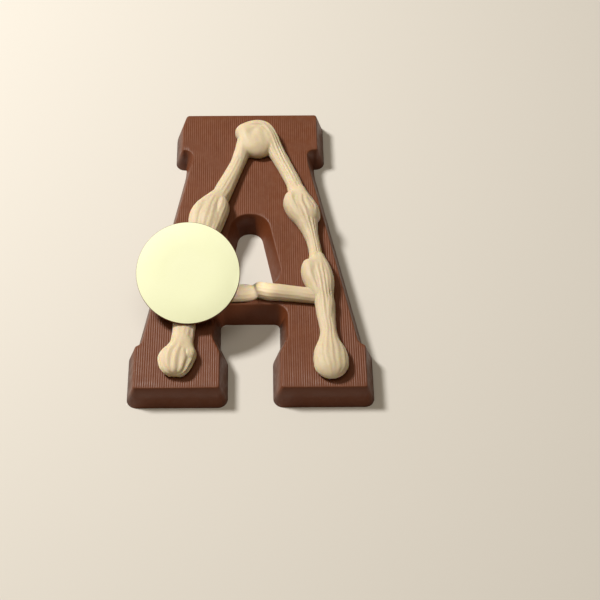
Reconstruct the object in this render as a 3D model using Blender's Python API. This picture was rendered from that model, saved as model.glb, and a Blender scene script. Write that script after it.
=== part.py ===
"""A chocolate letter A: a milk chocolate slab with drafted sides, lines of piped
white chocolate on its face, and a round plaque stuck to the left leg.

It lies on its flat back. +Y points to the top of the letter, +Z up, and the
origin is under the middle of the slab.
"""

import math

import bmesh
import bpy
from mathutils import Matrix, Quaternion, Vector

MM = 0.001

# Slab. The outline sizes are those of the upper face.
THICKNESS = 12.0 * MM
DRAFT = 3.8 * MM  # how far each side stands out at the back
EDGE = 0.7 * MM  # rounding of the face's edge
HALF_LENGTH = 85.2 * MM
HEAD_HALF_WIDTH = 35.0 * MM
HEAD_DEPTH = 24.2 * MM  # from the top of the letter to the notch under the head
NECK_HALF_WIDTH = 29.6 * MM  # at the notch
NECK_LENGTH = 8.4 * MM  # from the notch to where the legs start to spread
LEG_SLOPE = 0.187  # sideways per unit of length
FOOT_HALF_WIDTH = 54.0 * MM
FOOT_HEIGHT = 23.0 * MM
FOOT_STEP = 3.2 * MM  # how far the foot stands out from the leg
SOFT_CORNER = (1.9 * MM, 7.0 * MM)  # the head's left corner, cut back this far

# Counter, the hole above the bar, and crotch, the gap below it.
COUNTER_TOP = 17.8 * MM
COUNTER_BOTTOM = -27.3 * MM
COUNTER_HALF_WIDTH = 8.5 * MM  # at its top, before rounding
CROTCH_TOP = -38.2 * MM
CROTCH_HALF_WIDTH = 18.0 * MM
CROTCH_STRAIGHT = 18.8 * MM  # from its top down to the flare of the feet
FOOT_INNER = 14.4 * MM
FOOT_INNER_HEIGHT = 19.7 * MM

# Plaque, leaning on a rosette.
PLAQUE_RADIUS = 24.6 * MM
PLAQUE_THICKNESS = 2.4 * MM
PLAQUE_CENTRE = (-29.2 * MM, -31.6 * MM)
PLAQUE_HEIGHT = 16.8 * MM  # middle of its face above the slab's face
PLAQUE_TILT = math.radians(25)
PLAQUE_EDGE = 0.5 * MM
PLAQUE_SIDES = 56

GAP = 0.3 * MM  # between pieces that touch
FLOOR_CUT = 12.0 * MM  # depth of the cutter that flattens the piping's underside

# Section of a piped line: its widest level and the share of it that is round.
WAIST = 0.38
ROUND = 0.62
CAP_STEPS = 5  # rings in the round end of a line
ARC_STEP = math.radians(15)

MILK = (0.184, 0.078, 0.043)
WHITE = (0.694, 0.597, 0.413)
CREAM = (0.93, 0.91, 0.62)


def clear_scene():
    for obj in list(bpy.data.objects):
        bpy.data.objects.remove(obj)


def new_collection(name):
    collection = bpy.data.collections.new(name)
    bpy.context.scene.collection.children.link(collection)
    return collection


def material(name, colour, roughness):
    made = bpy.data.materials.new(name)
    made.use_nodes = True
    shader = made.node_tree.nodes["Principled BSDF"]
    shader.inputs["Base Color"].default_value = (*colour, 1.0)
    shader.inputs["Roughness"].default_value = roughness
    shader.inputs["Metallic"].default_value = 0.0
    return made


def object_from(bm, name, collection):
    """Turns a bmesh into an object whose faces point out."""
    bmesh.ops.recalc_face_normals(bm, faces=bm.faces)
    if bm.calc_volume(signed=True) < 0:
        bmesh.ops.reverse_faces(bm, faces=bm.faces)
    mesh = bpy.data.meshes.new(name)
    bm.to_mesh(mesh)
    bm.free()
    obj = bpy.data.objects.new(name, mesh)
    collection.objects.link(obj)
    return obj


def apply_boolean(obj, operation, other=None, collection=None):
    modifier = obj.modifiers.new("cut", "BOOLEAN")
    modifier.operation = operation
    modifier.solver = "EXACT"
    if collection is None:
        modifier.object = other
    else:
        modifier.operand_type = "COLLECTION"
        modifier.collection = collection
    bpy.context.view_layer.update()
    graph = bpy.context.evaluated_depsgraph_get()
    joined = bpy.data.meshes.new_from_object(obj.evaluated_get(graph))
    obj.modifiers.clear()
    obj.data = joined


def drop_scraps(obj):
    """Keeps only the largest connected body of a mesh."""
    bm = bmesh.new()
    bm.from_mesh(obj.data)
    bmesh.ops.remove_doubles(bm, verts=bm.verts, dist=1e-7)
    islands = []
    left = set(bm.verts)
    while left:
        island = set()
        front = [left.pop()]
        while front:
            vert = front.pop()
            island.add(vert)
            for edge in vert.link_edges:
                other = edge.other_vert(vert)
                if other in left:
                    left.discard(other)
                    front.append(other)
        islands.append(island)
    keep = max(islands, key=len)
    scraps = [vert for vert in bm.verts if vert not in keep]
    bmesh.ops.delete(bm, geom=scraps, context="VERTS")
    bm.to_mesh(obj.data)
    bm.free()


def finish(obj, surface, angle=40):
    obj.data.materials.clear()
    obj.data.materials.append(surface)
    obj.data.shade_smooth()
    obj.data.set_sharp_from_angle(angle=math.radians(angle))


# Outlines


def rounded(corners):
    """Points along a closed outline whose corners (x, y, radius) are arcs."""
    points = []
    for index, (x, y, radius) in enumerate(corners):
        here = Vector((x, y))
        back = Vector(corners[index - 1][:2]) - here
        ahead = Vector(corners[(index + 1) % len(corners)][:2]) - here
        back.normalize()
        ahead.normalize()
        turn = math.pi - back.angle(ahead)
        reach = radius * math.tan(turn / 2)
        start = here + back * reach
        end = here + ahead * reach
        middle = here + (back + ahead).normalized() * (radius / math.cos(turn / 2))
        steps = max(2, math.ceil(turn / ARC_STEP))
        first = (start - middle).to_3d()
        last = (end - middle).to_3d()
        swing = first.rotation_difference(last)
        for step in range(steps + 1):
            arm = first.copy()
            arm.rotate(Quaternion().slerp(swing, step / steps))
            points.append(middle + arm.to_2d())
    return points


def offset(points, distance):
    """Moves each point out by the distance, on the right of the outline's way."""
    moved = []
    for index, here in enumerate(points):
        arrive = (here - points[index - 1]).normalized()
        leave = (points[(index + 1) % len(points)] - here).normalized()
        way = (arrive + leave).normalized()
        out = Vector((way.y, -way.x))
        moved.append(here + out * (distance / way.dot(leave)))
    return moved


def letter_outline():
    """The face's outer outline, anticlockwise from the crotch."""
    top = HALF_LENGTH
    notch = top - HEAD_DEPTH
    foot_top = FOOT_HEIGHT - top
    flare = CROTCH_TOP - CROTCH_STRAIGHT
    inner_top = FOOT_INNER_HEIGHT - top
    join = FOOT_HALF_WIDTH - FOOT_STEP
    join_y = foot_top + 1.9 * MM
    half = [
        (CROTCH_HALF_WIDTH, CROTCH_TOP, 6.5 * MM),
        (CROTCH_HALF_WIDTH, flare, 5.5 * MM),
        (FOOT_INNER, inner_top, 4.0 * MM),
        (FOOT_INNER, -top, 1.0 * MM),
        (FOOT_HALF_WIDTH, -top, 1.0 * MM),
        (FOOT_HALF_WIDTH, foot_top, 1.2 * MM),
        (join, join_y, 4.2 * MM),
        (NECK_HALF_WIDTH, notch - NECK_LENGTH, 36.0 * MM),
        (NECK_HALF_WIDTH, notch, 4.3 * MM),
        (HEAD_HALF_WIDTH, notch, 0.8 * MM),
    ]
    right_corner = [(HEAD_HALF_WIDTH, top, 1.2 * MM)]
    cut_x, cut_y = SOFT_CORNER
    left_corner = [
        (cut_x - HEAD_HALF_WIDTH, top, 1.6 * MM),
        (-HEAD_HALF_WIDTH, top - cut_y, 12.0 * MM),
    ]
    mirrored = [(-x, y, radius) for x, y, radius in reversed(half)]
    return rounded(half + right_corner + left_corner + mirrored)


def counter_outline():
    """The counter's outline on the face, clockwise."""
    spread = LEG_SLOPE * (COUNTER_TOP - COUNTER_BOTTOM)
    wide = COUNTER_HALF_WIDTH + spread
    return rounded(
        [
            (-COUNTER_HALF_WIDTH, COUNTER_TOP, 9.6 * MM),
            (COUNTER_HALF_WIDTH, COUNTER_TOP, 9.6 * MM),
            (wide, COUNTER_BOTTOM, 9.0 * MM),
            (-wide, COUNTER_BOTTOM, 9.0 * MM),
        ]
    )


def loft(outline, levels):
    """A closed body through copies of an outline at levels of (offset, height)."""
    bm = bmesh.new()
    rings = []
    for distance, z in levels:
        ring = [bm.verts.new((p.x, p.y, z)) for p in offset(outline, distance)]
        rings.append(ring)
    count = len(outline)
    for low, high in zip(rings, rings[1:]):
        for i in range(count):
            j = (i + 1) % count
            bm.faces.new((low[i], low[j], high[j], high[i]))
    for ring in (rings[0], rings[-1]):
        bm.faces.new(ring)
    return bm


def make_slab(collection, cutters):
    """The letter, lofted from its wide back to its face, with the counter cut out."""
    sides = [
        (DRAFT, 0.0),
        (DRAFT * EDGE / THICKNESS, THICKNESS - EDGE),
        (-0.1 * EDGE, THICKNESS - 0.3 * EDGE),
        (-0.7 * EDGE, THICKNESS),
    ]
    over = 2.0 * MM
    below = (DRAFT * (1 + over / THICKNESS), -over)
    above = (-0.7 * EDGE - over, THICKNESS + over)
    slab = object_from(loft(letter_outline(), sides), "letter", collection)
    hole = loft(counter_outline(), [below, *sides[1:], above])
    apply_boolean(slab, "DIFFERENCE", object_from(hole, "counter_cutter", cutters))
    return slab


# Piping


def smooth(rows, place):
    """A Catmull-Rom curve through the rows, place running from 0 to 1."""
    last = len(rows) - 1
    span = min(int(place * last), last - 1)
    t = place * last - span
    picks = [rows[min(max(span + k, 0), last)] for k in (-1, 0, 1, 2)]
    values = []
    for a, b, c, d in zip(*picks):
        bend = (2 * a - 5 * b + 4 * c - d) * t * t + (3 * b - a - 3 * c + d) * t**3
        values.append(0.5 * (2 * b + (c - a) * t + bend))
    return values


def stations(rows, count):
    """(centre, tangent, width, height, end factor) along a line with round ends."""
    fine = 40 * len(rows)
    track = [smooth(rows, i / fine) for i in range(fine + 1)]
    lengths = [0.0]
    for a, b in zip(track, track[1:]):
        lengths.append(lengths[-1] + math.dist(a[:2], b[:2]))
    total = lengths[-1]
    caps = (track[0][2] / 2, track[-1][2] / 2)
    bends = [1 - math.cos(math.pi / 2 * k / CAP_STEPS) for k in range(1, CAP_STEPS)]
    run = total - sum(caps)
    places = [caps[0] * bend for bend in bends]
    places += [caps[0] + run * k / count for k in range(count + 1)]
    places += [total - caps[1] * bend for bend in reversed(bends)]
    made = []
    for place in places:
        index = next(i for i in range(1, fine + 1) if lengths[i] >= place or i == fine)
        before, after = track[index - 1], track[index]
        share = (place - lengths[index - 1]) / (lengths[index] - lengths[index - 1])
        x, y, width, height = (a + (b - a) * share for a, b in zip(before, after))
        tangent = Vector((after[0] - before[0], after[1] - before[1])).normalized()
        from_end = min(place / caps[0], (total - place) / caps[1], 1.0)
        factor = math.sqrt(1 - (1 - from_end) ** 2)
        made.append((Vector((x, y)), tangent, width, height, factor))
    return made


def piped_line(name, rows, ridges, depth, count, twist, collection, grow=0.0):
    """A ridged line of piping through rows of (x, y, width, height) in mm.

    Its section is a ribbed oval whose lower part is sunk in the slab's face.
    """
    rows = [tuple(value * MM for value in row) for row in rows]
    sides = 2 * ridges
    bm = bmesh.new()
    rings = []
    for centre, tangent, width, height, factor in stations(rows, count):
        side = Vector((-tangent.y, tangent.x))
        middle = THICKNESS + WAIST * height
        ring = []
        for k in range(sides):
            angle = 2 * math.pi * k / sides + math.radians(twist) * len(rings)
            groove = 1 - depth * (k % 2)
            across = (width / 2 * groove * factor + grow) * math.cos(angle)
            up = (ROUND * height * groove * factor + grow) * math.sin(angle)
            spot = centre + side * across
            ring.append(bm.verts.new((spot.x, spot.y, middle + up)))
        rings.append(ring)
    for a, b in zip(rings, rings[1:]):
        for k in range(sides):
            j = (k + 1) % sides
            bm.faces.new((a[k], a[j], b[j], b[k]))
    for ring, row in ((rings[0], rows[0]), (rings[-1], rows[-1])):
        tip = bm.verts.new((row[0], row[1], THICKNESS + WAIST * row[3]))
        for k in range(sides):
            bm.faces.new((ring[k], ring[k - 1], tip))
    return object_from(bm, name, collection)


def right_line(collection, grow=0.0):
    """A knot at the apex, then three strokes down the right leg."""
    knot = [
        (2.6, 72.6, 15.0, 8.2), (3.2, 66.5, 19.0, 8.0), (4.2, 60.5, 18.4, 7.7),
        (5.6, 53.2, 15.0, 7.2),
    ]
    crook = [
        (-6.2, 65.6, 11.0, 8.0), (-1.6, 69.6, 11.6, 8.6), (3.2, 70.8, 12.2, 9.2),
        (7.0, 69.4, 12.0, 9.0), (10.4, 64.0, 10.2, 8.0), (13.6, 56.6, 8.7, 6.6),
        (17.3, 48.3, 8.2, 5.8), (19.4, 43.2, 8.1, 5.6), (21.4, 38.2, 8.0, 5.5),
        (22.8, 34.0, 8.2, 5.4), (23.6, 30.5, 8.2, 5.4),
    ]
    upper = [
        (21.7, 37.0, 7.6, 5.5), (22.8, 33.2, 8.4, 5.8), (23.5, 29.4, 9.6, 6.4),
        (23.9, 26.8, 12.4, 7.4), (24.3, 23.8, 15.0, 8.2), (24.9, 21.0, 16.4, 8.6),
        (26.1, 16.8, 16.9, 8.6), (27.3, 12.9, 15.2, 8.1), (28.2, 9.8, 12.0, 7.3),
        (29.0, 6.5, 9.4, 6.4), (29.9, 2.8, 7.8, 5.8), (31.0, -2.0, 6.7, 5.3),
        (31.8, -6.6, 6.4, 5.2), (32.3, -12.0, 6.8, 5.6), (32.8, -18.0, 7.0, 5.6),
    ]
    lower = [
        (32.0, -8.5, 6.4, 5.2), (32.2, -12.4, 7.4, 6.0), (32.2, -15.4, 10.4, 7.2),
        (32.1, -18.2, 13.8, 8.2), (32.3, -21.6, 14.9, 8.6), (33.0, -26.4, 14.8, 8.5),
        (33.7, -30.6, 13.7, 8.0), (34.4, -35.0, 11.6, 7.2), (35.3, -40.0, 10.2, 6.5),
        (36.0, -45.2, 9.2, 5.8), (36.4, -50.6, 8.4, 5.3), (36.9, -56.6, 8.2, 5.3),
        (37.0, -60.2, 9.6, 5.9), (37.0, -63.4, 12.0, 6.7), (37.1, -66.6, 14.6, 7.3),
        (37.4, -70.4, 16.2, 7.6), (37.6, -75.0, 16.5, 7.5), (37.9, -82.3, 16.4, 7.2),
    ]
    piped_line("knot", knot, 9, 0.05, 4, 0, collection, grow)
    piped_line("crook", crook, 10, 0.08, 20, 2, collection, grow)
    piped_line("upper", upper, 12, 0.08, 15, -2, collection, grow)
    piped_line("lower", lower, 12, 0.08, 26, 1, collection, grow)


def left_line(collection, grow=0.0):
    """A line down from the apex, a bulb, the plaque's rosette and a foot shell."""
    first = [
        (-1.2, 68.0, 9.0, 6.6), (-2.9, 61.5, 8.6, 6.2), (-4.2, 56.6, 8.0, 5.8),
        (-6.0, 50.4, 7.7, 5.3), (-8.2, 44.4, 8.1, 5.3), (-10.4, 38.6, 8.8, 5.6),
        (-12.4, 33.6, 9.4, 6.0), (-14.4, 27.6, 10.2, 6.8), (-16.6, 20.0, 11.0, 7.6),
        (-18.8, 10.0, 11.0, 7.0),
    ]
    second = [
        (-13.6, 31.0, 8.4, 5.8), (-15.4, 27.0, 11.0, 7.0), (-17.6, 23.4, 14.6, 8.0),
        (-19.4, 19.4, 17.2, 8.6), (-20.9, 15.0, 18.6, 8.7), (-21.8, 10.5, 18.0, 8.3),
        (-23.0, 5.0, 15.0, 7.4), (-25.2, -3.0, 10.4, 6.2), (-27.6, -12.0, 8.6, 5.6),
        (-29.8, -22.0, 8.8, 6.0),
    ]
    third = [
        (-30.8, -26.0, 10.0, 7.0), (-31.0, -36.0, 9.8, 6.0), (-31.1, -46.0, 10.6, 4.9),
        (-31.3, -54.1, 10.9, 5.0), (-31.7, -58.5, 10.9, 5.5), (-32.1, -62.4, 11.6, 6.2),
        (-33.0, -66.6, 14.0, 6.9), (-34.2, -71.0, 17.0, 7.4), (-34.7, -81.2, 17.4, 7.4),
    ]
    piped_line("first", first, 9, 0.08, 18, -2, collection, grow)
    piped_line("second", second, 12, 0.09, 13, 2, collection, grow)
    piped_line("third", third, 10, 0.13, 17, 0, collection, grow)
    rosette(collection, grow)


def rosette(collection, grow):
    """A twisted mound under the plaque, high enough to be pressed flat by it."""
    bm = bmesh.new()
    ridges, sides = 9, 18
    radius, height = 10.4 * MM, 17.5 * MM
    middle = Vector((-30.8 * MM, -28.0 * MM))
    levels = (0.0, 0.18, 0.36, 0.54, 0.7, 0.84, 0.95)
    rings = []
    for number, level in enumerate(levels):
        ring = []
        for k in range(sides):
            angle = 2 * math.pi * (k + 0.5 * number) / sides
            groove = 1 - 0.12 * (k % 2)
            reach = radius * groove * math.sqrt(1 - level**2.4) + grow
            z = THICKNESS - 2.0 * MM + height * level + grow
            spot = middle + Vector((math.cos(angle), math.sin(angle))) * reach
            ring.append(bm.verts.new((spot.x, spot.y, z)))
        rings.append(ring)
    for a, b in zip(rings, rings[1:]):
        for k in range(sides):
            j = (k + 1) % sides
            bm.faces.new((a[k], a[j], b[j], b[k]))
    for ring in (rings[0], rings[-1]):
        bm.faces.new(ring)
    return object_from(bm, "rosette", collection)


def bar_line(collection, grow=0.0):
    """Two short strokes along the bar, the right one starting on the left one's end."""
    left = [
        (-24.4, -33.2, 8.8, 5.4), (-12.4, -33.4, 9.0, 5.4), (-2.0, -33.1, 9.3, 5.6),
        (1.8, -32.6, 7.4, 5.0), (5.0, -32.2, 5.4, 4.4),
    ]
    right = [
        (0.4, -31.4, 6.4, 5.0), (4.8, -31.6, 8.4, 6.2), (9.6, -32.7, 9.0, 6.2),
        (14.4, -33.0, 8.7, 5.8), (22.4, -34.0, 8.2, 5.4), (29.6, -34.9, 8.2, 5.3),
        (37.4, -35.8, 8.0, 5.2),
    ]
    piped_line("left", left, 8, 0.06, 10, 0, collection, grow)
    piped_line("right", right, 8, 0.06, 13, 0, collection, grow)


def fused(name, maker, collection, grow=0.0):
    """Joins the pieces that a maker adds into one object of this name."""
    loose = new_collection("loose " + name)
    maker(loose, grow)
    pieces = list(loose.objects)
    base = pieces[0]
    loose.objects.unlink(base)
    collection.objects.link(base)
    apply_boolean(base, "UNION", collection=loose)
    for piece in pieces[1:]:
        bpy.data.objects.remove(piece)
    bpy.data.collections.remove(loose)
    base.name = name
    return base


def make_piping(collection, cutters, surface, plaque_cutter):
    """The three lines, flattened on the slab and kept clear of each other."""
    right = fused("piping_right", right_line, collection)
    left = fused("piping_left", left_line, collection)
    bar = fused("piping_bar", bar_line, collection)
    wide_right = fused("wide_right", right_line, cutters, GAP)
    wide_left = fused("wide_left", left_line, cutters, GAP)
    under = box_cutter(cutters)
    apply_boolean(left, "DIFFERENCE", wide_right)
    apply_boolean(left, "DIFFERENCE", plaque_cutter)
    apply_boolean(bar, "DIFFERENCE", wide_right)
    apply_boolean(bar, "DIFFERENCE", wide_left)
    for line in (right, left, bar):
        apply_boolean(line, "DIFFERENCE", under)
        drop_scraps(line)
        finish(line, surface, 32)


def box_cutter(collection):
    """A block whose top lies just above the slab's face."""
    bm = bmesh.new()
    bmesh.ops.create_cube(bm, size=1.0)
    size = Vector((140 * MM, 200 * MM, FLOOR_CUT))
    bmesh.ops.scale(bm, vec=size, verts=bm.verts)
    lift = Vector((0, 0, THICKNESS + GAP - FLOOR_CUT / 2))
    bmesh.ops.translate(bm, vec=lift, verts=bm.verts)
    return object_from(bm, "under_cutter", collection)


def make_plaque(name, collection, grow=0.0):
    """A round tablet with softened edges, leaning up towards the letter's top."""
    bm = bmesh.new()
    bmesh.ops.create_cone(
        bm,
        cap_ends=True,
        segments=PLAQUE_SIDES,
        radius1=PLAQUE_RADIUS + grow,
        radius2=PLAQUE_RADIUS + grow,
        depth=PLAQUE_THICKNESS + 2 * grow,
    )
    rims = [edge for edge in bm.edges if abs(edge.verts[0].co.z - edge.verts[1].co.z) < 1e-6]
    bmesh.ops.bevel(bm, geom=rims, offset=PLAQUE_EDGE, segments=2, affect="EDGES", profile=0.5)
    obj = object_from(bm, name, collection)
    centre_down = Matrix.Translation((0, 0, -PLAQUE_THICKNESS / 2))
    lean = Matrix.Rotation(PLAQUE_TILT, 4, "X")
    place = Matrix.Translation((*PLAQUE_CENTRE, THICKNESS + PLAQUE_HEIGHT))
    obj.matrix_world = place @ lean @ centre_down
    return obj


def main():
    clear_scene()
    model = new_collection("chocolate_letter")
    cutters = new_collection("cutters")
    milk = material("milk_chocolate", MILK, 0.45)
    white = material("white_chocolate", WHITE, 0.5)
    cream = material("plaque_face", CREAM, 0.5)
    slab = make_slab(model, cutters)
    finish(slab, milk)
    plaque = make_plaque("plaque", model)
    finish(plaque, cream)
    plaque_cutter = make_plaque("plaque_cutter", cutters, GAP)
    make_piping(model, cutters, white, plaque_cutter)
    for cutter in cutters.objects:
        cutter.hide_render = True
        cutter.display_type = "WIRE"


main()
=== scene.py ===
"""The chocolate letter, dressed: a ribbed milk chocolate slab, fluted lines of white
chocolate and a cream plaque, on a pale floor in soft studio light.

Sizes are in metres. Rows of piping are in millimetres, as (x, y, width, height).
"""

import math

import bpy
import numpy as np
from mathutils import Matrix, Vector, noise


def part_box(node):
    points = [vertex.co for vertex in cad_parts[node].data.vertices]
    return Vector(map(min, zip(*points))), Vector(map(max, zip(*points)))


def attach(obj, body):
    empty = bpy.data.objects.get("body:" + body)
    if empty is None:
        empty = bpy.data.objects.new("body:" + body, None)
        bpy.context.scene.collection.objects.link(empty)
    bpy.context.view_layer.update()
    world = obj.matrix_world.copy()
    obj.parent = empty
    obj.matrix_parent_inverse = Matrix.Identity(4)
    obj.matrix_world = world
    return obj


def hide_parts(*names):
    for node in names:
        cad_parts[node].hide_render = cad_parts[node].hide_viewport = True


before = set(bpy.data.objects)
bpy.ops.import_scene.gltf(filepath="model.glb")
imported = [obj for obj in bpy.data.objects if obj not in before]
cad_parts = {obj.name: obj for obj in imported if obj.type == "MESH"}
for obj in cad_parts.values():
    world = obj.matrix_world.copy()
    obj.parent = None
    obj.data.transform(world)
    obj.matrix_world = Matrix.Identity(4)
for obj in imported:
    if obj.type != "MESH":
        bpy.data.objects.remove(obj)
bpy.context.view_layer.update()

MM = 0.001
FACE = 12.0 * MM  # height of the letter's face
SUNK = 0.3 * MM  # how far the piping sits in the face
CLEAR = 0.02 * MM  # kept free below the CAD's face and below the plaque

RIB_PITCH = 1.05 * MM
RIB_DEPTH = 0.145 * MM
RIB_WANDER = 0.12 * MM  # how far a rib strays sideways
RIB_SAMPLES = 8  # points across a rib
RIB_ROWS = 60  # points along the letter, less one
RIB_MARGIN = 2 * MM  # how far the block of ribs stands out from the letter

# A piped line's middle and its radius upwards, as shares of its height
WAIST = 0.38
ROUND = 0.62
STEP = 0.45 * MM  # between the rings of a line
ROW_SAMPLES = 60  # points of the curve for each row
CAP_RINGS = 14  # in a line's round end
RIDGE_SAMPLES = 8  # points across a flute
SWAY = 0.25  # how far all the flutes wander together, in flutes
SPREAD = 0.45  # how far each wanders on its own, in flutes
UNEVEN = 0.9  # how much their depths differ
SWELL = 0.02  # how much a line's thickness differs
LIT_FROM, LIT_SPAN = -0.55, 0.8  # where the flutes of a line's left side fade

VOXEL = 0.3 * MM
SOFTENING = 2  # rounds of smoothing for all of the piping
PUDDLE_SOFTENING = 110  # and for the places that have run together
PUDDLE_FADE = 2.5  # how fast those places reach their full effect
LUMPS = ((0.1, 180), (0.05, 600))  # (size in millimetres, scale)

ROSETTE_CENTRE = (-30.8 * MM, -28.0 * MM)
ROSETTE_RADIUS = 10.4 * MM
ROSETTE_HEIGHT = 17.5 * MM
ROSETTE_ROOT = 2.0 * MM  # how far it starts below the face
ROSETTE_RIDGES = 9
ROSETTE_SAMPLES = 12  # points across a ridge
ROSETTE_RINGS = 60
ROSETTE_GROOVE = 0.12  # depth of its grooves, as a share of its radius
ROSETTE_TWIST = 2.2  # in ridges, from its foot to its top

PLAQUE_RADIUS = 24.6 * MM
PLAQUE_THICKNESS = 2.4 * MM
PLAQUE_CENTRE = (-29.2 * MM, -31.6 * MM)
PLAQUE_HEIGHT = 16.62 * MM  # middle of its face above the letter's face
PLAQUE_TILT = math.radians(25)
PLAQUE_EDGE = 0.25 * MM  # radius of its rounded edges
PLAQUE_SIDES = 160
PRINT_RADIUS = 24.4 * MM
PRINT_HEIGHT = 0.08 * MM
PRINT_ROOT = 0.1 * MM  # how far the print reaches into the plaque
PRINT_SHIFT = (-0.05 * MM, 0.0)  # from the middle of the plaque


# Camera, light and floor


def link(obj):
    bpy.context.scene.collection.objects.link(obj)
    return obj


def make_camera():
    """The camera, fitted to the outline of the letter's face in the photograph."""
    data = bpy.data.cameras.new("camera")
    data.sensor_width = 36.0
    data.lens = 85.62
    data.shift_x = 0.0538
    data.clip_start = 0.01
    camera = link(bpy.data.objects.new("camera", data))
    camera.location = (0.0051, -0.4384, 0.5661)
    camera.rotation_euler = (math.radians(36.0), 0.0, math.radians(-0.47))
    bpy.context.scene.camera = camera


def lamp(name, kind, place, target, power, colour):
    """Makes a lamp that is aimed at its target, and returns the lamp's data."""
    data = bpy.data.lights.new(name, kind)
    data.energy = power
    data.color = colour
    made = link(bpy.data.objects.new(name, data))
    made.location = place
    away = Vector(target) - Vector(place)
    made.rotation_euler = away.to_track_quat("-Z", "Y").to_euler()
    return data


def area_light(name, place, target, size, power, colour):
    data = lamp(name, "AREA", place, target, power, colour)
    data.shape = "DISK"
    data.size = size


def spot_light(name, place, target, reach, power, colour):
    """A soft-edged beam that lights a patch of this radius about its target."""
    data = lamp(name, "SPOT", place, target, power, colour)
    data.spot_size = 2 * math.atan(reach / math.dist(place, target))
    data.spot_blend = 1.0
    data.shadow_soft_size = 0.003


def make_light():
    middle = (0, 0, 0)
    area_light("key", (-0.67, 0.38, 0.95), middle, 0.24, 16.8, (1.0, 0.975, 0.93))
    area_light("top", (-0.10, -0.10, 1.3), middle, 0.9, 3.6, (1.0, 0.95, 0.86))
    # the end of the bar that the plaque would shade
    bar_end = (-0.002, -0.0335, 0.016)
    spot_light("bar_end", (0.30, -0.06, 0.33), bar_end, 0.011, 8.5, (1.0, 0.96, 0.91))
    world = bpy.data.worlds.new("studio")
    world.use_nodes = True
    background = world.node_tree.nodes["Background"]
    background.inputs["Color"].default_value = (1.0, 0.80, 0.50, 1.0)
    background.inputs["Strength"].default_value = 0.145
    bpy.context.scene.world = world
    bpy.context.scene.view_settings.view_transform = "Standard"


def make_floor():
    half = 2.0
    corners = [(-half, -half, 0), (half, -half, 0), (half, half, 0), (-half, half, 0)]
    mesh = bpy.data.meshes.new("floor")
    mesh.from_pydata(corners, [], [(0, 1, 2, 3)])
    floor = link(bpy.data.objects.new("floor", mesh))
    surface = bpy.data.materials.new("floor_paint")
    surface.use_nodes = True
    shader = surface.node_tree.nodes["Principled BSDF"]
    shader.inputs["Base Color"].default_value = (0.67, 0.64, 0.59, 1.0)
    shader.inputs["Roughness"].default_value = 0.9
    mesh.materials.append(surface)


# Materials


class Nodes:
    """A short way to build a material's node tree."""

    def __init__(self, name):
        self.material = bpy.data.materials.new(name)
        self.material.use_nodes = True
        self.tree = self.material.node_tree
        self.shader = self.tree.nodes["Principled BSDF"]
        self.coords = self.tree.nodes.new("ShaderNodeTexCoord").outputs["Object"]

    def join(self, output, socket):
        self.tree.links.new(output, socket)

    def noise(self, scale, detail=2.0, roughness=0.5, stretch=None):
        node = self.tree.nodes.new("ShaderNodeTexNoise")
        node.inputs["Scale"].default_value = scale
        node.inputs["Detail"].default_value = detail
        node.inputs["Roughness"].default_value = roughness
        source = self.coords
        if stretch:
            mapping = self.tree.nodes.new("ShaderNodeMapping")
            mapping.inputs["Scale"].default_value = stretch
            self.join(source, mapping.inputs["Vector"])
            source = mapping.outputs["Vector"]
        self.join(source, node.inputs["Vector"])
        return node.outputs["Fac"]

    def remap(self, value, low, high, to_low, to_high):
        node = self.tree.nodes.new("ShaderNodeMapRange")
        node.interpolation_type = "SMOOTHSTEP"
        self.join(value, node.inputs["Value"])
        names = ("From Min", "From Max", "To Min", "To Max")
        for name, number in zip(names, (low, high, to_low, to_high)):
            node.inputs[name].default_value = number
        return node.outputs["Result"]

    def height(self):
        node = self.tree.nodes.new("ShaderNodeSeparateXYZ")
        self.join(self.coords, node.inputs["Vector"])
        return node.outputs["Z"]

    def multiply(self, a, b):
        node = self.tree.nodes.new("ShaderNodeMath")
        node.operation = "MULTIPLY"
        self.join(a, node.inputs[0])
        self.join(b, node.inputs[1])
        return node.outputs["Value"]

    def mix(self, share, a, b):
        node = self.tree.nodes.new("ShaderNodeMix")
        node.data_type = "RGBA"
        self.join(share, node.inputs["Factor"])
        for socket, value in ((node.inputs[6], a), (node.inputs[7], b)):
            if isinstance(value, tuple):
                socket.default_value = (*value, 1.0)
            else:
                self.join(value, socket)
        return node.outputs[2]

    def clouded(self, scale, a, b):
        """A slow drift between two colours."""
        return self.mix(self.remap(self.noise(scale, 3), 0.3, 0.7, 0.0, 1.0), a, b)

    def coat(self, colour, uneven, low, high):
        """Sets the colour, and a roughness that runs from low to high with a noise."""
        self.join(colour, self.shader.inputs["Base Color"])
        roughness = self.remap(uneven, 0.3, 0.7, low, high)
        self.join(roughness, self.shader.inputs["Roughness"])

    def bump(self, parts):
        """Chains bumps of (height, strength, distance)."""
        normal = None
        for value, strength, distance in parts:
            node = self.tree.nodes.new("ShaderNodeBump")
            node.inputs["Strength"].default_value = strength
            node.inputs["Distance"].default_value = distance
            self.join(value, node.inputs["Height"])
            if normal:
                self.join(normal, node.inputs["Normal"])
            normal = node.outputs["Normal"]
        self.join(normal, self.shader.inputs["Normal"])


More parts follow.
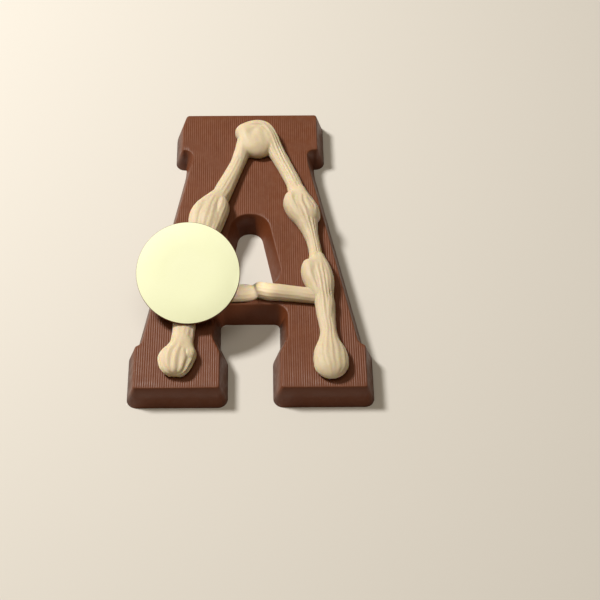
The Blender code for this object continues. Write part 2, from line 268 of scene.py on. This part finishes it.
def milk_chocolate():
    """Brown, with the fine grain of its mould, and a painted sheen: all above the face's
    rim is painted paler than the walls, in random patches.
    """
    made = Nodes("milk_chocolate")
    base = made.clouded(70, (0.120, 0.0305, 0.0088), (0.135, 0.036, 0.0112))
    grain = made.remap(made.noise(1500, 3, 0.6), 0.35, 0.75, 0.0, 0.35)
    base = made.mix(grain, base, (0.158, 0.051, 0.021))
    # Painted sheen: everything above 11.75 mm, the face and the plaque, is painted paler
    # than the walls below it
    painted_sheen_mask = made.remap(made.height(), 11.1 * MM, 11.75 * MM, 0.0, 1.0)
    patches = made.noise(420, 3, 0.6, stretch=(1.0, 0.6, 1.0))
    sheen_and_tone_patches = made.remap(patches, 0.38, 0.66, 0.19, 0.41)
    # mixes in the painted sheen's paler colour, by patches that also vary the tone at
    # random
    base = made.mix(made.multiply(painted_sheen_mask, sheen_and_tone_patches), base, (0.19, 0.078, 0.040))
    made.coat(base, made.noise(260, 3), 0.4, 0.54)
    made.shader.inputs["IOR"].default_value = 1.46
    made.shader.inputs["Specular IOR Level"].default_value = 0.34
    made.bump([(made.noise(90), 0.12, 0.0006), (made.noise(900, 3, 0.6), 0.25, 0.0001)])
    return made.material


def white_chocolate():
    """Cream, with small specks, and light that scatters inside it."""
    made = Nodes("white_chocolate")
    base = made.clouded(90, (0.61, 0.505, 0.345), (0.65, 0.545, 0.38))
    speck = made.remap(made.noise(1100, 2, 0.6), 0.55, 0.8, 0.0, 0.4)
    base = made.mix(speck, base, (0.57, 0.455, 0.29))
    made.coat(base, made.noise(300), 0.5, 0.64)
    made.shader.inputs["IOR"].default_value = 1.45
    made.shader.inputs["Subsurface Weight"].default_value = 0.75
    made.shader.inputs["Subsurface Radius"].default_value = (1.0, 0.5, 0.15)
    made.shader.inputs["Subsurface Scale"].default_value = 2.0 * MM
    made.bump(
        [(made.noise(320, 3), 0.55, 0.0002), (made.noise(1600, 2, 0.6), 0.2, 0.00006)]
    )
    return made.material


def plaque_print():
    """A pale yellow print with a fine grain."""
    made = Nodes("plaque_print")
    base = made.clouded(60, (0.95, 0.995, 0.665), (0.96, 1.0, 0.685))
    grain = made.remap(made.noise(1300), 0.5, 0.8, 0.0, 0.3)
    base = made.mix(grain, base, (0.92, 0.94, 0.575))
    made.coat(base, made.noise(240), 0.4, 0.5)
    made.bump([(made.noise(120), 0.15, 0.0004), (made.noise(1200), 0.15, 0.00005)])
    return made.material


# Shapes


def object_from(name, points, faces):
    mesh = bpy.data.meshes.new(name)
    mesh.from_pydata([tuple(p) for p in points], [], faces)
    mesh.validate()
    return link(bpy.data.objects.new(name, mesh))


def ring_faces(first, rings, sides):
    """The faces between rings of points, the first of which starts at this index."""
    faces = []
    for j in range(rings - 1):
        a, b = first + j * sides, first + (j + 1) * sides
        for k in range(sides):
            m = (k + 1) % sides
            faces.append((a + k, a + m, b + m, b + k))
    return faces


def apply_modifiers(obj):
    bpy.context.view_layer.update()
    graph = bpy.context.evaluated_depsgraph_get()
    made = bpy.data.meshes.new_from_object(obj.evaluated_get(graph))
    obj.modifiers.clear()
    obj.data = made


def weld(obj):
    modifier = obj.modifiers.new("weld", "WELD")
    modifier.merge_threshold = 1e-6
    apply_modifiers(obj)


def keep_inside(obj, other):
    """Keeps the part of a mesh that is inside another, and removes the other."""
    modifier = obj.modifiers.new("inside", "BOOLEAN")
    modifier.operation = "INTERSECT"
    modifier.solver = "MANIFOLD"
    modifier.object = other
    apply_modifiers(obj)
    bpy.data.objects.remove(other)


def dress(obj, surface, slot, *nodes, angle=40):
    """Gives a piece its material and its body, and hides the CAD nodes that it stands
    for.

    Its edges are sharp from this angle in degrees, or nowhere if that is None.
    """
    obj.data.materials.clear()
    obj.data.materials.append(surface)
    obj.data.shade_smooth()
    if angle:
        obj.data.set_sharp_from_angle(angle=math.radians(angle))
    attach(obj, "root")
    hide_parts(*nodes)


def rib_block():
    """A block over the whole letter whose top carries the face's fine ribs."""
    low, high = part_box("letter")
    count = round((high.x - low.x + 2 * RIB_MARGIN) / RIB_PITCH) * RIB_SAMPLES
    xs = np.linspace(low.x - RIB_MARGIN, high.x + RIB_MARGIN, count + 1)
    ys = np.linspace(low.y - RIB_MARGIN, high.y + RIB_MARGIN, RIB_ROWS + 1)
    top = FACE - CLEAR
    points = []
    for y in ys:
        for x in xs:
            rib = math.floor(x / RIB_PITCH)
            drift = noise.noise(Vector((x * 60, y * 25, 0))) * RIB_WANDER
            # each rib is worn on its own, and then patches of them together
            worn = 0.8 + 0.4 * noise.noise(Vector((rib * 0.7, y * 40, 5)))
            worn += 0.5 * noise.noise(Vector((x * 35, y * 25, 9)))
            wave = 0.5 - 0.5 * math.cos(2 * math.pi * (x + drift) / RIB_PITCH)
            points.append((x, y, top - RIB_DEPTH * worn * wave**1.5))
    wide = count + 1
    faces = []
    for j in range(RIB_ROWS):
        for i in range(count):
            a = j * wide + i
            faces.append((a, a + 1, a + wide + 1, a + wide))
    rim = list(range(wide))
    rim += [j * wide + count for j in range(1, RIB_ROWS + 1)]
    rim += [RIB_ROWS * wide + i for i in range(count - 1, -1, -1)]
    rim += [j * wide for j in range(RIB_ROWS - 1, 0, -1)]
    base = len(points)
    points += [(points[i][0], points[i][1], -RIB_MARGIN) for i in rim]
    around = len(rim)
    for k in range(around):
        m = (k + 1) % around
        faces.append((rim[m], rim[k], base + k, base + m))
    faces.append(tuple(base + k for k in range(around - 1, -1, -1)))
    return object_from("rib_block", points, faces)


def make_letter(surface):
    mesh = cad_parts["letter"].data.copy()
    letter = link(bpy.data.objects.new("letter_ribbed", mesh))
    weld(letter)
    keep_inside(letter, rib_block())
    dress(letter, surface, "milk_chocolate", "letter")


# Piping


def smooth(rows, place):
    """A Catmull-Rom curve through the rows, place running from 0 to 1."""
    last = len(rows) - 1
    span = min(int(place * last), last - 1)
    t = place * last - span
    a, b, c, d = (rows[min(max(span + k, 0), last)] for k in (-1, 0, 1, 2))
    bend = (2 * a - 5 * b + 4 * c - d) * t * t + (3 * b - a - 3 * c + d) * t**3
    return 0.5 * (2 * b + (c - a) * t + bend)


def stations(rows):
    """Rings of a line, close together in its round ends.

    Each is (length so far, its share, centre, tangent, width, height, end factor).
    """
    fine = ROW_SAMPLES * len(rows)
    track = np.array([smooth(rows, i / fine) for i in range(fine + 1)])
    steps = np.linalg.norm(np.diff(track[:, :2], axis=0), axis=1)
    lengths = np.concatenate([[0.0], np.cumsum(steps)])
    total = lengths[-1]
    caps = (track[0, 2] / 2, track[-1, 2] / 2)
    bends = [1 - math.cos(math.pi / 2 * k / CAP_RINGS) for k in range(1, CAP_RINGS)]
    count = round((total - sum(caps)) / STEP)
    places = [caps[0] * bend for bend in bends]
    places += list(np.linspace(caps[0], total - caps[1], count + 1))
    places += [total - caps[1] * bend for bend in reversed(bends)]
    made = []
    for place in places:
        values = [np.interp(place, lengths, track[:, k]) for k in range(4)]
        ahead = [np.interp(place + STEP, lengths, track[:, k]) for k in (0, 1)]
        behind = [np.interp(place - STEP, lengths, track[:, k]) for k in (0, 1)]
        tangent = Vector((ahead[0] - behind[0], ahead[1] - behind[1])).normalized()
        from_end = min(place / caps[0], (total - place) / caps[1], 1.0)
        factor = math.sqrt(1 - (1 - from_end) ** 2)
        centre = Vector(values[:2])
        made.append((place, place / total, centre, tangent, values[2], values[3], factor))
    return made


def piped_line(
    rows, ridges, depths, twist=0.0, plain=1.0, seed=0, ragged=0.0, flat=1.0, blunt=1.0
):
    """A fluted stroke, as its points and faces.

    depths are the flutes' depths, as shares of the radius, spread evenly along it.
    twist is in flutes for each 100 mm. plain is how much of the flutes is left on
    its left side. ragged is how far its flutes push its ends out, in millimetres.
    A flat below 1 gives a broad back, and a blunt below 1 square ends.
    """
    rows = np.array(rows) * MM
    sides = ridges * RIDGE_SAMPLES
    spread = np.linspace(0, 1, len(depths))
    points = []
    for place, share, centre, tangent, width, height, factor in stations(rows):
        side = Vector((-tangent.y, tangent.x))
        factor = factor**blunt
        middle = FACE + WAIST * height
        depth = np.interp(share, spread, depths)
        along = place / MM
        sway = SWAY * noise.noise(Vector((along * 0.12, seed, 3)))
        swell = 1 + SWELL * noise.noise(Vector((along * 0.25, seed, 7)))
        for k in range(sides):
            angle = 2 * math.pi * k / sides
            across, rise = math.cos(angle), math.sin(angle)
            spot = Vector((1.7 * across, 1.7 * rise, seed + along * 0.05))
            flute = ridges * angle / (2 * math.pi) + twist * along / 100
            flute += sway + SPREAD * noise.noise(spot)
            which = math.floor(flute)
            uneven = 1 + UNEVEN * noise.noise(Vector((which * 1.7, along * 0.07, seed)))
            lit = min(max((side.x * across - LIT_FROM) / LIT_SPAN, 0.0), 1.0)
            lit = plain + (1 - plain) * lit * lit * (3 - 2 * lit)
            dip = math.sin(math.pi * flute) ** 2
            groove = 1 - depth * uneven * lit * dip
            out = width / 2 * groove * swell * factor * across
            up = ROUND * height * groove * factor
            up *= math.copysign(abs(rise) ** flat, rise)
            nearest = math.floor(flute + 0.5)
            push = noise.noise(Vector((nearest * 2.3, seed, 11))) * (1 - dip)
            push *= ragged * MM * (1 - factor) * factor
            spot = centre + side * out + tangent * push
            points.append((spot.x, spot.y, middle + up))
    rings = len(points) // sides
    faces = ring_faces(0, rings, sides)
    for ring, row in ((0, rows[0]), (rings - 1, rows[-1])):
        points.append((row[0], row[1], FACE + WAIST * row[3]))
        tip = len(points) - 1
        for k in range(sides):
            m = (k + 1) % sides
            pair = (ring * sides + m, ring * sides + k)
            faces.append((*(pair if ring == 0 else reversed(pair)), tip))
    return points, faces


def rosette():
    """A twisted mound under the plaque, as its points and faces."""
    sides = ROSETTE_RIDGES * ROSETTE_SAMPLES
    points = []
    for number in range(ROSETTE_RINGS):
        level = 0.98 * number / (ROSETTE_RINGS - 1)
        for k in range(sides):
            angle = 2 * math.pi * k / sides
            flute = ROSETTE_RIDGES * angle / (2 * math.pi) + ROSETTE_TWIST * level
            groove = 1 - ROSETTE_GROOVE * math.sin(math.pi * flute) ** 2
            reach = ROSETTE_RADIUS * groove * math.sqrt(1 - level**2.4)
            x = ROSETTE_CENTRE[0] + reach * math.cos(angle)
            y = ROSETTE_CENTRE[1] + reach * math.sin(angle)
            points.append((x, y, FACE - ROSETTE_ROOT + ROSETTE_HEIGHT * level))
    faces = ring_faces(0, ROSETTE_RINGS, sides)
    faces.append(tuple(range(sides - 1, -1, -1)))
    faces.append(tuple((ROSETTE_RINGS - 1) * sides + k for k in range(sides)))
    return points, faces


def plaque_matrix():
    lean = Matrix.Rotation(PLAQUE_TILT, 4, "X")
    return Matrix.Translation((*PLAQUE_CENTRE, FACE + PLAQUE_HEIGHT)) @ lean


def run_together(obj, puddles):
    """Smooths round parts of a mesh hard, fading out to their rims."""
    group = obj.vertex_groups.new(name="soft")
    for vert in obj.data.vertices:
        near = 0.0
        for x, y, radius in puddles:
            far = math.dist(vert.co[:2], (x * MM, y * MM)) / (radius * MM)
            near = max(near, 1 - far)
        if near > 0:
            group.add([vert.index], min(1.0, PUDDLE_FADE * near), "REPLACE")
    soften = obj.modifiers.new("run_together", "SMOOTH")
    soften.factor = 0.5
    soften.iterations = PUDDLE_SOFTENING
    soften.vertex_group = group.name
    apply_modifiers(obj)
    obj.vertex_groups.clear()


def melted(name, strokes, puddles=(), dimples=()):
    """Fuses overlapping strokes, softens them, and presses them on what they touch:
    the letter's face below them and the plaque above them.

    A puddle (x, y, radius) is a place that has run together more, and a dimple
    (x, y, radius, depth) one that has sunk, all in millimetres.
    """
    points, faces = [], []
    for more_points, more_faces in strokes:
        start = len(points)
        points += more_points
        faces += [tuple(start + i for i in face) for face in more_faces]
    obj = object_from(name, points, faces)
    remesh = obj.modifiers.new("remesh", "REMESH")
    remesh.mode = "VOXEL"
    remesh.voxel_size = VOXEL
    soften = obj.modifiers.new("soften", "SMOOTH")
    soften.factor = 0.5
    soften.iterations = SOFTENING
    apply_modifiers(obj)
    if puddles:
        run_together(obj, puddles)
    from_plaque = plaque_matrix()
    to_plaque = from_plaque.inverted()
    under = -PLAQUE_THICKNESS - CLEAR
    normals = [vert.normal.copy() for vert in obj.data.vertices]
    for vert, normal in zip(obj.data.vertices, normals):
        lump = sum(size * noise.noise(vert.co * scale) for size, scale in LUMPS)
        for x, y, radius, depth in dimples:
            far = math.dist(vert.co[:2], (x * MM, y * MM)) / (radius * MM)
            lump -= depth * math.exp(-2 * far**2) * max(normal.z, 0)
        vert.co += normal * (lump * MM)
        vert.co.z = max(vert.co.z, FACE - SUNK)
        local = to_plaque @ vert.co
        if local.z > under and math.hypot(local.x, local.y) < PLAQUE_RADIUS:
            local.z = under
            vert.co = from_plaque @ local
    return obj


def make_right(surface):
    knot = [
        (2.2, 74.0, 14.0, 8.3), (2.6, 67.5, 18.0, 8.7), (4.2, 60.5, 18.0, 8.1),
        (5.6, 53.3, 14.6, 7.0),
    ]
    bridge = [
        (0.5, 68.0, 9.4, 8.2), (-2.4, 61.5, 9.2, 7.4), (-4.1, 56.4, 8.4, 6.2),
        (-5.9, 50.8, 7.8, 5.3), (-7.3, 46.9, 7.2, 4.9),
    ]
    crook = [
        (-6.2, 65.6, 11.0, 8.0), (-1.6, 69.6, 11.6, 8.5), (3.2, 70.8, 12.2, 8.9),
        (7.0, 69.4, 12.0, 8.9), (10.4, 64.0, 10.2, 8.1), (13.6, 56.6, 8.7, 6.6),
        (17.3, 48.3, 8.2, 5.8), (19.4, 43.2, 8.1, 5.6), (21.4, 38.2, 8.0, 5.5),
        (22.8, 34.0, 8.2, 5.4), (23.6, 30.5, 8.2, 5.4),
    ]
    upper = [
        (21.7, 37.0, 7.6, 5.5), (22.8, 33.2, 8.4, 5.8), (23.8, 29.4, 9.0, 6.4),
        (24.6, 26.4, 10.4, 7.4), (25.4, 23.0, 12.6, 8.2), (25.9, 20.0, 14.2, 8.6),
        (26.9, 16.4, 14.6, 8.6), (28.0, 12.4, 13.0, 8.1), (28.7, 9.4, 10.6, 7.3),
        (29.4, 6.0, 8.8, 6.4), (30.2, 2.4, 7.4, 5.8), (31.1, -2.0, 6.6, 5.3),
        (31.8, -6.6, 6.4, 5.2), (32.3, -12.0, 6.8, 5.6), (32.8, -18.0, 7.0, 5.6),
    ]
    upper_left = [
        (21.4, 28.8, 6.4, 6.4), (21.1, 25.0, 7.8, 7.8), (21.0, 21.2, 8.8, 8.2),
        (22.7, 16.2, 8.4, 8.2), (26.0, 10.4, 7.0, 7.2), (28.3, 4.6, 5.4, 5.8),
        (29.8, -1.0, 4.6, 4.8),
    ]
    upper_right = [
        (24.4, 33.2, 5.8, 6.0), (25.8, 27.4, 7.0, 7.2), (28.0, 21.4, 8.2, 8.0),
        (30.8, 15.8, 8.2, 7.9), (31.4, 9.2, 6.6, 6.6),
    ]
    lower = [
        (32.0, -8.5, 6.4, 5.2), (32.2, -12.4, 7.2, 6.0), (32.6, -15.4, 9.0, 7.2),
        (33.0, -18.6, 11.6, 8.0), (33.4, -22.4, 12.8, 8.4), (34.0, -27.0, 12.4, 8.3),
        (34.8, -31.4, 11.2, 7.8), (35.2, -35.6, 9.8, 7.2), (35.7, -40.4, 9.8, 6.5),
        (36.0, -45.2, 9.2, 5.8), (36.4, -50.6, 8.4, 5.3), (36.9, -56.6, 8.2, 5.3),
        (37.0, -60.2, 9.6, 5.9), (37.0, -63.4, 12.0, 6.7), (37.1, -66.6, 14.6, 7.3),
        (37.4, -70.4, 16.2, 7.6), (37.6, -75.0, 16.5, 7.5), (37.9, -82.3, 16.4, 7.2),
    ]
    lower_left = [
        (29.8, -14.3, 6.4, 6.4), (29.2, -17.4, 7.8, 7.8), (28.9, -21.2, 8.8, 8.4),
        (29.6, -26.0, 8.2, 8.2), (31.6, -31.6, 6.8, 7.4), (33.6, -38.0, 5.4, 6.0),
    ]
    lower_right = [
        (33.4, -9.6, 4.6, 5.2), (34.2, -14.6, 6.0, 6.8), (35.7, -20.0, 7.0, 7.8),
        (36.8, -26.0, 7.4, 8.0), (36.9, -31.0, 7.0, 7.4), (36.9, -36.5, 5.4, 6.2),
    ]
    lowest_right = [
        (36.4, -35.6, 5.0, 6.0), (37.4, -40.4, 6.2, 6.4), (37.2, -45.4, 5.6, 5.8),
        (36.8, -51.6, 4.6, 5.2),
    ]
    strokes = [
        piped_line(knot, 14, (0.04, 0.06), seed=1, flat=0.5),
        piped_line(bridge, 14, (0.02, 0.05), plain=0.5, seed=12),
        piped_line(crook, 16, (0.06, 0.19, 0.15, 0.1, 0.08), twist=-3, plain=0.6, seed=2),
        piped_line(upper, 16, (0.07, 0.09, 0.13, 0.15), plain=0.5, seed=3),
        piped_line(upper_left, 12, (0.03, 0.05), plain=0.4, seed=13),
        piped_line(upper_right, 12, (0.06, 0.08), plain=0.4, seed=14),
        piped_line(
            lower, 18, (0.07, 0.09, 0.1, 0.1, 0.065, 0.025), plain=0.3, seed=4, ragged=1.5
        ),
        piped_line(lower_left, 12, (0.02, 0.04), plain=0.4, seed=15),
        piped_line(lower_right, 12, (0.05, 0.07), plain=0.4, seed=16),
        piped_line(lowest_right, 12, (0.05, 0.05), plain=0.4, seed=17),
    ]
    puddles = [
        (2.4, 61.0, 9.6), (-0.5, 66.0, 7.0), (31.0, -17.0, 4.5), (23.5, 26.5, 4.0),
        (31.2, 12.5, 3.5),
    ]
    dimples = [(1.0, 66.2, 3.2, 0.8)]
    line = melted("piping_right_fluted", strokes, puddles, dimples)
    dress(line, surface, "white_chocolate", "piping_right", angle=None)


def make_left(surface):
    first = [
        (-1.2, 68.0, 9.0, 7.8), (-2.9, 61.5, 8.6, 7.0), (-4.2, 56.6, 8.0, 6.0),
        (-6.0, 50.4, 7.7, 5.3), (-8.2, 44.4, 8.1, 5.3), (-10.4, 38.6, 8.8, 5.6),
        (-12.4, 33.6, 9.4, 6.0), (-14.5, 27.6, 9.8, 6.8), (-17.4, 20.0, 9.2, 7.6),
        (-19.6, 10.0, 10.0, 7.0),
    ]
    second = [
        (-13.8, 31.0, 8.0, 5.8), (-15.8, 27.0, 9.0, 7.0), (-18.2, 23.0, 11.0, 8.0),
        (-19.8, 19.0, 13.2, 8.6), (-20.6, 14.5, 15.4, 8.7), (-21.2, 10.5, 16.4, 8.4),
        (-22.9, 5.0, 14.4, 7.6), (-25.2, -3.0, 10.4, 6.4), (-27.6, -12.0, 8.6, 5.6),
        (-29.8, -22.0, 8.8, 6.0),
    ]
    second_left = [
        (-16.4, 29.0, 5.0, 6.0), (-18.6, 25.2, 6.8, 7.2), (-21.8, 21.0, 8.2, 8.0),
        (-24.7, 17.0, 8.8, 8.4), (-26.2, 12.4, 8.8, 8.0), (-26.8, 6.0, 8.0, 7.2),
        (-28.5, -3.0, 7.0, 6.4),
    ]
    second_right = [
        (-14.8, 25.4, 4.4, 6.4), (-14.1, 22.2, 6.4, 7.4), (-14.1, 18.8, 7.8, 8.0),
        (-15.0, 14.8, 8.0, 7.8), (-16.9, 8.4, 7.6, 7.2), (-20.0, -1.0, 7.0, 6.4),
    ]
    third = [
        (-30.8, -26.0, 10.0, 7.0), (-31.0, -36.0, 9.8, 6.0), (-31.1, -46.0, 10.6, 4.9),
        (-31.3, -54.1, 10.9, 5.0), (-31.7, -58.5, 10.9, 5.5), (-32.1, -62.4, 11.3, 6.2),
        (-33.2, -66.6, 13.4, 6.9), (-34.4, -71.0, 17.0, 7.4), (-35.1, -80.1, 14.8, 7.3),
    ]
    nub = [
        (-30.2, -58.5, 6.4, 5.0), (-29.4, -65.8, 7.2, 6.0), (-28.8, -69.2, 7.8, 6.4),
        (-29.6, -73.6, 7.0, 6.2),
    ]
    strokes = [
        piped_line(first, 16, (0.03, 0.06, 0.05), plain=0.5, seed=5),
        piped_line(second, 16, (0.04, 0.06, 0.06), plain=0.3, seed=6),
        piped_line(second_left, 12, (0.02, 0.04), plain=0.3, seed=18),
        piped_line(second_right, 12, (0.03, 0.08), plain=0.4, seed=19),
        piped_line(
            third,
            12,
            (0.02, 0.02, 0.04, 0.1, 0.17),
            plain=0.9,
            seed=7,
            ragged=4.0,
            blunt=0.5,
        ),
        piped_line(nub, 8, (0.02, 0.05), seed=20),
        rosette(),
    ]
    puddles = [(-1.2, 68.0, 6.0), (-16.5, 25.5, 3.5), (-29.0, -63.5, 5.0)]
    line = melted("piping_left_fluted", strokes, puddles)
    dress(line, surface, "white_chocolate", "piping_left", angle=None)


def make_bar(surface):
    left = [
        (-24.4, -33.2, 8.8, 5.4), (-12.4, -33.4, 9.0, 5.4), (-2.0, -33.1, 9.3, 5.6),
        (1.8, -32.6, 7.4, 5.0), (5.0, -32.2, 5.4, 4.4),
    ]
    right = [
        (0.4, -31.4, 6.4, 5.0), (4.8, -31.6, 8.4, 6.2), (9.6, -32.7, 9.0, 6.2),
        (14.4, -33.0, 8.7, 5.8), (22.4, -34.0, 8.2, 5.4), (29.6, -34.9, 8.2, 5.3),
        (37.4, -35.8, 8.0, 5.2),
    ]
    strokes = [
        piped_line(left, 14, (0.03, 0.04), seed=8),
        piped_line(right, 14, (0.04, 0.04), seed=9),
    ]
    line = melted("piping_bar_fluted", strokes)
    dress(line, surface, "white_chocolate", "piping_bar", angle=None)


# Plaque


def lathe(name, profile, shift=(0.0, 0.0)):
    """Turns a profile of (radius, height), from axis to axis, about a vertical axis."""
    points = [(0.0, 0.0, profile[0][1])]
    rings = profile[1:-1]
    for radius, z in rings:
        for k in range(PLAQUE_SIDES):
            angle = 2 * math.pi * k / PLAQUE_SIDES
            points.append((radius * math.cos(angle), radius * math.sin(angle), z))
    points.append((0.0, 0.0, profile[-1][1]))
    last = len(points) - 1
    top = last - PLAQUE_SIDES
    faces = ring_faces(1, len(rings), PLAQUE_SIDES)
    for k in range(PLAQUE_SIDES):
        m = (k + 1) % PLAQUE_SIDES
        faces += [(0, 1 + m, 1 + k), (top + k, top + m, last)]
    obj = object_from(name, points, faces)
    obj.data.transform(plaque_matrix() @ Matrix.Translation((*shift, 0.0)))
    return obj


def arc(radius_at, height_at, size, start, end, steps=6):
    """Points of a quarter round about a centre, angles in degrees."""
    made = []
    for k in range(steps + 1):
        angle = math.radians(start + (end - start) * k / steps)
        radius = radius_at + size * math.cos(angle)
        made.append((radius, height_at + size * math.sin(angle)))
    return made


def make_plaque(brown, cream):
    """A brown tablet with a print on it. The print's face is at height 0."""
    body_top = -PRINT_HEIGHT
    edge = PLAQUE_RADIUS - PLAQUE_EDGE
    body = [(0.0, -PLAQUE_THICKNESS), (0.5 * PLAQUE_RADIUS, -PLAQUE_THICKNESS)]
    body += arc(edge, -PLAQUE_THICKNESS + PLAQUE_EDGE, PLAQUE_EDGE, -90, 0)
    body += arc(edge, body_top - PLAQUE_EDGE, PLAQUE_EDGE, 0, 90)
    body += [(0.5 * PLAQUE_RADIUS, body_top), (0.0, body_top)]
    tablet = lathe("plaque_body", body)
    dress(tablet, brown, "milk_chocolate", "plaque")
    root = body_top - PRINT_ROOT
    layer = [(0.0, root), (PRINT_RADIUS, root)]
    layer += arc(PRINT_RADIUS - PRINT_HEIGHT, body_top, PRINT_HEIGHT, 0, 90, 3)
    layer += [(0.5 * PRINT_RADIUS, 0.0), (0.0, 0.0)]
    cover = lathe("plaque_print", layer, PRINT_SHIFT)
    dress(cover, cream, "plaque_face", "plaque")


make_camera()
make_light()
make_floor()
milk = milk_chocolate()
white = white_chocolate()
make_letter(milk)
make_right(white)
make_left(white)
make_bar(white)
make_plaque(milk, plaque_print())
